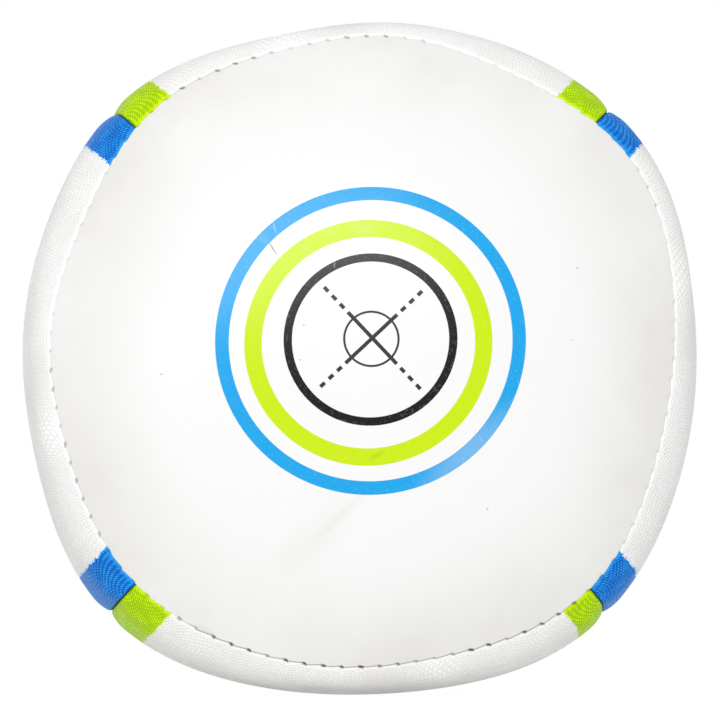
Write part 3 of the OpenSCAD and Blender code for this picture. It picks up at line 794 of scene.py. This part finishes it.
# Marks on the face: right and up from the blue ring's centre, half length and half width in mm,
# lean in degrees, and strength
SMUDGES_AND_SHADE = {
    "crease": (-11.0, -49.0, 20.0, 2.6, 43, 0.33),
    "beside_crease": (-17.0, -54.0, 26.0, 9.0, 46, 0.22),
    "streak": (-32.5, -74.0, 7.0, 1.3, 78, 0.35),
    "by_lower_left_seam": (-43.4, -76.6, 8.0, 2.6, -27, 0.8),
    # right and upper_right are partly a grey smudge, partly painted shade that darkens the face
    # towards its right edge
    "right": (75.5, 2.6, 15.0, 9.0, 86, 0.4),
    "upper_right": (76.3, 20.6, 12.0, 6.5, 100, 0.4),
    "top": (-11.7, 74.0, 12.0, 4.0, 5, 0.3),
    "upper_left": (-71.6, 43.0, 20.0, 7.0, 62, 0.3),
    "on_green_ring": (1.5, -30.4, 3.6, 1.0, 30, 0.6),
}
SPECKS = {
    "hair": (-26.0, 24.3, 3.5, 0.3, -58, 1.0),
    "right_of_rings": (55.2, 19.8, 0.5, 0.4, 20, 0.6),
    "right_lower": (53.6, 0.5, 0.6, 0.25, 0, 0.5),
    "lower_right": (30.9, -44.4, 0.5, 0.4, 0, 0.6),
    "left": (-55.3, -9.0, 0.5, 0.4, 0, 0.6),
    "in_black_ring": (-17.8, 3.9, 0.4, 0.35, 0, 0.8),
    "in_black_ring_low": (-18.8, -5.3, 0.45, 0.3, 0, 0.6),
}
SCRATCHES = {
    "lower_right": (29.0, -25.9, 2.4, 0.2, -60, 0.5),
    "upper_left": (-25.5, 29.8, 2.4, 0.3, -76, 0.4),
    "beside_upper_left": (-28.4, 26.6, 3.4, 1.6, -32, 0.07),
    "on_green_left": (-17.8, 24.6, 2.6, 0.6, -38, 0.16),
    "on_green_middle": (-11.1, 29.2, 3.4, 1.5, 12, 0.09),
    "on_green_right": (-2.0, 29.5, 5.0, 2.2, 0, 0.1),
    "on_black": (-9.7, 20.0, 1.4, 0.4, 84, 0.25),
    "on_blue": (26.2, -29.1, 25.0, 7.0, 42, 0.19),
}


def worn(tree, place, marks):
    """How strongly a place is marked, from a table of marks."""
    strongest = None
    for right, up, half_length, half_width, lean_degrees, strength in marks.values():
        spot = add(tree, "Mapping", PLACED, {
            "Vector": place,
            "Location": ring_places["blue_ring"] + Vector((right, 0, up)) * MM,
            "Rotation": (0, -math.radians(lean_degrees), 0),
            "Scale": (half_length * MM, 1, half_width * MM)})
        away = add(tree, "VectorMath", LENGTH, {0: spot})
        mark = add(tree, "MapRange", SMOOTH, {
            "Value": away.outputs["Value"], "To Min": strength, "To Max": 0.0})
        if strongest is not None:
            mark = add(tree, "Math", LARGEST, {0: strongest, 1: mark})
        strongest = mark
    return strongest


def printed_cover():
    """Synthetic leather, polyurethane over cloth: smooth with a faint grain and a satin shine,
    screen-printed with a target, and a little soiled in use."""
    material, tree, shader = new_material("printed_synthetic_leather")
    place = add(tree, "TexCoord", {}, {}).outputs["Object"]
    surface = colour("#e8e8e8")
    # Ink that has come off in fine specks, scratches and rubbed places
    specks = add(tree, "TexNoise", {}, {"Vector": place, "Scale": 1000 / 0.7, "Detail": 3.0})
    kept = add(tree, "MapRange", {}, {
        "Value": specks, "From Min": 0.58, "From Max": 0.8, "To Min": 1.0, "To Max": 0.88})
    kept = add(tree, "Math", MINUS, {0: kept, 1: worn(tree, place, SCRATCHES)})
    for name, (inner_r, outer_r, ink) in RINGS.items():
        around = add(tree, "Mapping", PLACED, {
            "Vector": place, "Location": ring_places[name],
            "Rotation": (0, -STRETCH_LEAN, 0),
            "Scale": (MM * STRETCH, 1, MM / STRETCH)})
        radius = add(tree, "VectorMath", LENGTH, {0: around})
        inked = add(tree, "Math", CLOSE_TO, {
            0: radius.outputs["Value"],
            1: (inner_r + outer_r) / 2, 2: (outer_r - inner_r) / 2})
        inked = add(tree, "Math", TIMES, {0: inked, 1: kept})
        surface = add(tree, "Mix", COLOURS, {"Factor": inked, "A": surface, "B": colour(ink)})
    # The aiming cross, its dashes and its circle
    turned = add(tree, "Mapping", PLACED, {
        "Vector": place, "Location": ring_places["aiming_cross"],
        "Rotation": (0, -CROSS_LEAN, 0), "Scale": (MM, 1, MM)})
    across = add(tree, "SeparateXYZ", {}, {"Vector": turned})
    marks = []
    for along, beside, shift in (("X", "Z", CROSS_SHIFT), ("Z", "X", 0.0)):
        moved = add(tree, "Math", PLUS, {0: across.outputs[along], 1: shift})
        distance = add(tree, "Math", {"operation": "ABSOLUTE"}, {0: moved})
        arm = add(tree, "Math", BELOW, {0: distance, 1: ARM})
        phase = add(tree, "Math", MINUS, {0: distance, 1: DASH_FROM})
        part = add(tree, "Math", {"operation": "FLOORED_MODULO"}, {0: phase, 1: DASH_PITCH})
        dash = add(tree, "Math", BELOW, {0: part, 1: DASH})
        either = add(tree, "Math", LARGEST, {0: arm, 1: dash})
        ended = add(tree, "Math", BELOW, {0: distance, 1: DASH_END})
        line = add(tree, "Math", CLOSE_TO, {0: across.outputs[beside], 1: 0.0, 2: CROSS_LINE / 2})
        within = add(tree, "Math", TIMES, {0: either, 1: ended})
        marks.append(add(tree, "Math", TIMES, {0: within, 1: line}))
    centred = add(tree, "VectorMath", PLUS, {0: turned, 1: (CROSS_SHIFT, 0.0, 0.0)})
    circle_r = add(tree, "VectorMath", LENGTH, {0: centred})
    marks.append(add(tree, "Math", CLOSE_TO, {
        0: circle_r.outputs["Value"], 1: CIRCLE_R, 2: CIRCLE_LINE / 2}))
    lines = add(tree, "Math", LARGEST, {0: marks[0], 1: marks[1]})
    lines = add(tree, "Math", LARGEST, {0: lines, 1: marks[2]})
    surface = add(tree, "Mix", COLOURS, {"Factor": lines, "A": surface, "B": colour("#2e2e30")})
    # Handling dirt: cloudy and beige towards the edge, smudges and specks; two smudges are partly
    # painted shade on the face's right edge
    seams = add(tree, "UVMap", {"uv_map": "Seams"}, {})
    inward = add(tree, "SeparateXYZ", {}, {"Vector": seams})
    cloudy = add(tree, "TexNoise", {}, {
        "Vector": place, "Scale": 1000 / 45, "Detail": 6.0, "Roughness": 0.6})
    clouds = add(tree, "MapRange", {}, {"Value": cloudy, "From Min": 0.35, "From Max": 0.7})
    edge = add(tree, "MapRange", SMOOTH, {
        "Value": inward.outputs["Y"], "From Max": 34.0, "To Min": 0.5, "To Max": 0.03})
    clouds = add(tree, "Math", TIMES_PLUS, {0: clouds, 1: 0.6, 2: 0.3})
    grime = add(tree, "Math", TIMES, {0: clouds, 1: edge})
    broken = add(tree, "MapRange", {}, {
        "Value": cloudy, "From Min": 0.35, "From Max": 0.6, "To Min": 0.4, "To Max": 1.0})
    smudged_and_shaded = add(tree, "Math", TIMES, {0: worn(tree, place, SMUDGES_AND_SHADE), 1: broken})
    grime = add(tree, "Math", LARGEST, {0: grime, 1: smudged_and_shaded})
    surface = add(tree, "Mix", DARKEN, {"Factor": grime, "A": surface, "B": colour("#dbd6cd")})
    surface = add(tree, "Mix", COLOURS, {
        "Factor": worn(tree, place, SPECKS), "A": surface, "B": colour("#6a655e")})
    surface = shade_and_soil_seams(tree, surface, inward.outputs["Y"])
    # Grain of the cast skin, about 0.3 mm, drawn at 0.6 mm so that it shows
    grain = add(tree, "TexVoronoi", {"feature": "SMOOTH_F1"}, {
        "Vector": place, "Scale": 1000 / 0.6})
    bump = add(tree, "Bump", {}, {"Height": grain, "Strength": 0.15, "Distance": 0.00004})
    dress(tree, shader, surface, bump, {
        "Roughness": 0.19, "IOR": 1.5, "Specular IOR Level": 0.19})
    return material


make_piece(
    "printed_face_cover", cover_arrays, cover_faces, printed_cover(), "smooth_cover",
    "face_cover")
outer = face_sheet(rough_face_q, rough_a, COVER_T + BOND)
inner = face_sheet(rough_face_q, rough_a, FACE_LAYERS_T)
arrays, faces = shell(
    outer, inner, list(range(len(rough_face_q))), list(range(len(rough_a))), True, True)
make_piece("cloth_lining_face", arrays, faces, cloth, "lining_cloth", "face_lining")

# ---- Thread ----------------------------------------------------------------------------------
THREAD_SIDES = 8


def make_thread(name, path, loop, *replaced):
    """A round thread through the points of a path."""
    around = np.linspace(0, 2 * math.pi, THREAD_SIDES + 1)[:-1]
    before = np.roll(path, 1, axis=0)
    after = np.roll(path, -1, axis=0)
    if not loop:
        before[0] = path[0]
        after[-1] = path[-1]
    along = after - before
    along /= np.linalg.norm(along, axis=1)[:, None]
    radial = path - np.array([0, 0, AXIS_Z])
    radial[:, 1] = 0.001
    side = np.cross(along, radial)
    side /= np.linalg.norm(side, axis=1)[:, None]
    up = np.cross(side, along)
    rings = (path[:, None, :] + THREAD_R * np.cos(around)[None, :, None] * side[:, None, :]
             + THREAD_R * np.sin(around)[None, :, None] * up[:, None, :])
    length = np.concatenate([[0], np.cumsum(np.linalg.norm(np.diff(path, axis=0), axis=1))])
    flat = np.stack(np.broadcast_arrays(THREAD_R * around[None, :], length[:, None]), axis=-1)
    count = len(path)
    total = THREAD_SIDES * count
    if loop:
        faces = grid_faces(count + 1, THREAD_SIDES, 0, True, False)
        faces = [[k % total for k in face] for face in faces]
    else:
        faces = grid_faces(count, THREAD_SIDES, 0, True, False)
        faces.append(list(range(THREAD_SIDES - 1, -1, -1)))
        faces.append(list(range(total - THREAD_SIDES, total)))
    arrays = [rings.reshape(-1, 3), flat.reshape(-1, 2)]
    make_piece(name, arrays, faces, thread_finish, "thread", *replaced)


stitch_at = RIM + (RIM_LIP - 3 * THREAD_R) * LIP_DIR
turn = np.repeat((np.arange(RIM_STITCHES) + 0.5) * 2 * math.pi / RIM_STITCHES, 2)
zig = np.tile([-1, 1, 1, -1], RIM_STITCHES // 2)
beyond = np.where(zig > 0, LAYERS_T + THREAD_R, -(FACE_LAYERS_T + THREAD_R))
thread_s = stitch_at[0] + beyond * LIP_BACK[0]
thread_r = stitch_at[1] + beyond * LIP_BACK[1] - RIM_SQUARENESS * np.cos(4 * turn)
make_thread("waxed_thread_face_seam", sewn(thread_s, thread_r, turn, 1.0), True, "rim_thread")

long_q = SHOULDER_LENGTH + np.repeat(np.arange(LONG_STITCHES + 1) * STITCH_PITCH, 2)
zig = np.tile([-1, 1, 1, -1], (LONG_STITCHES + 1) // 2 + 1)[:len(long_q)]
s, r, along_s, along_r = [column[:, 0] for column in along_path(side_path, long_q)]
narrow = np.minimum(1, r / TAPER_R)
depth = GROOVE_D * narrow + (LAYERS_T + (FREE_LIP + THREAD_R) / 2) * narrow
thread_s = s + depth * along_r
thread_r = r - depth * along_s + SQUARENESS * r / MID_R
off = np.arcsin(zig * (LAYERS_T * narrow + THREAD_R) / thread_r)
seam_names = ("top_right", "bottom_right", "bottom_left", "top_left")
for k, seam in enumerate(seam_names):
    path = sewn(thread_s, thread_r, off + QUARTER * (2 * k + 1), np.minimum(1, r / RIM[1]))
    make_thread("waxed_thread_" + seam, path, False, "seam_thread_" + seam)

# ---- CAD pieces that stay --------------------------------------------------------------------
kept_nodes = {
    "face_foam": foam, "bladder": latex, "valve_patch": valve_rubber,
    "valve_body": valve_rubber, "valve_core": core_rubber}
for name, material in kept_nodes.items():
    nodes[name].data.materials.clear()
    nodes[name].data.materials.append(material)

# ---- Floor and light -------------------------------------------------------------------------
floor_mesh = bpy.data.meshes.new("floor")
floor_mesh.from_pydata([(-6, -6, 0), (6, -6, 0), (6, 6, 0), (-6, 6, 0)], [], [[0, 1, 2, 3]])
floor = show("floor", floor_mesh)


def seen_directly(tree):
    """1 for the camera's view, reflections and what is seen through glass, 0 for the light."""
    path = add(tree, "LightPath", {}, {})
    seen = add(tree, "Math", LARGEST, {
        0: path.outputs["Is Camera Ray"], 1: path.outputs["Is Glossy Ray"]})
    return add(tree, "Math", LARGEST, {0: seen, 1: path.outputs["Is Transmission Ray"]})


# A photographer's pale table, lit a little from below: it glows a little, and that glow lights the
# ball from below.
# The camera and reflections see it as white paper, with the ball's shadow still on it.
floor_material, tree, shader = new_material("pale_floor")
part = add(tree, "MapRange", {}, {"Value": seen_directly(tree), "To Min": 0.2, "To Max": 0.85})
paper_and_glow = add(tree, "Emission", {}, {"Color": (1, 1, 1, 1), "Strength": 1.1})
mixed = add(tree, "MixShader", {}, {0: part, 1: shader, 2: paper_and_glow})
tree.links.new(mixed.outputs[0], tree.nodes["Material Output"].inputs["Surface"])
shader.inputs["Base Color"].default_value = colour("#fbfbfa")
shader.inputs["Roughness"].default_value = 0.9
floor_mesh.materials.append(floor_material)

world = bpy.data.worlds.new("studio")
bpy.context.scene.world = world
world.use_nodes = True
tree = world.node_tree
strength = add(tree, "MapRange", {}, {"Value": seen_directly(tree), "To Min": 0.68, "To Max": 1.0})
tree.links.new(strength.outputs[0], tree.nodes["Background"].inputs["Strength"])
tree.nodes["Background"].inputs["Color"].default_value = (1, 1, 1, 1)


LIT_AT = Vector((0, 0, 0.09))    # the middle of the ball, which every lamp points at


def soft_lamp(name, at, power, width, height):
    """A studio softbox that points at the ball."""
    data = bpy.data.lights.new(name, "AREA")
    data.shape = "RECTANGLE"
    data.energy = power
    data.size = width
    data.size_y = height
    lamp = show(name, data)
    lamp.location = at
    lamp.rotation_euler = (LIT_AT - lamp.location).to_track_quat("-Z", "Y").to_euler()


soft_lamp("key", Vector((-0.22, -2.1, 0.65)), power=14.8, width=1.02, height=0.56)
soft_lamp("upper_left", Vector((-0.5, -1.25, 1.5)), power=3.6, width=1.2, height=1.2)
soft_lamp("low_left", Vector((-0.8, -1.85, 0.22)), power=1.5, width=0.5, height=0.36)

bpy.context.scene.view_settings.view_transform = "Standard"

# ---- Where each long seam meets the face's seam, worked out and not used ---------------------
for k, seam in enumerate(seam_names):
    a = np.array([QUARTER * (2 * k + 1)])
    end = face_sheet(np.array([0.0]), a, 0)[0].reshape(1, 3)

bpy.context.view_layer.update()
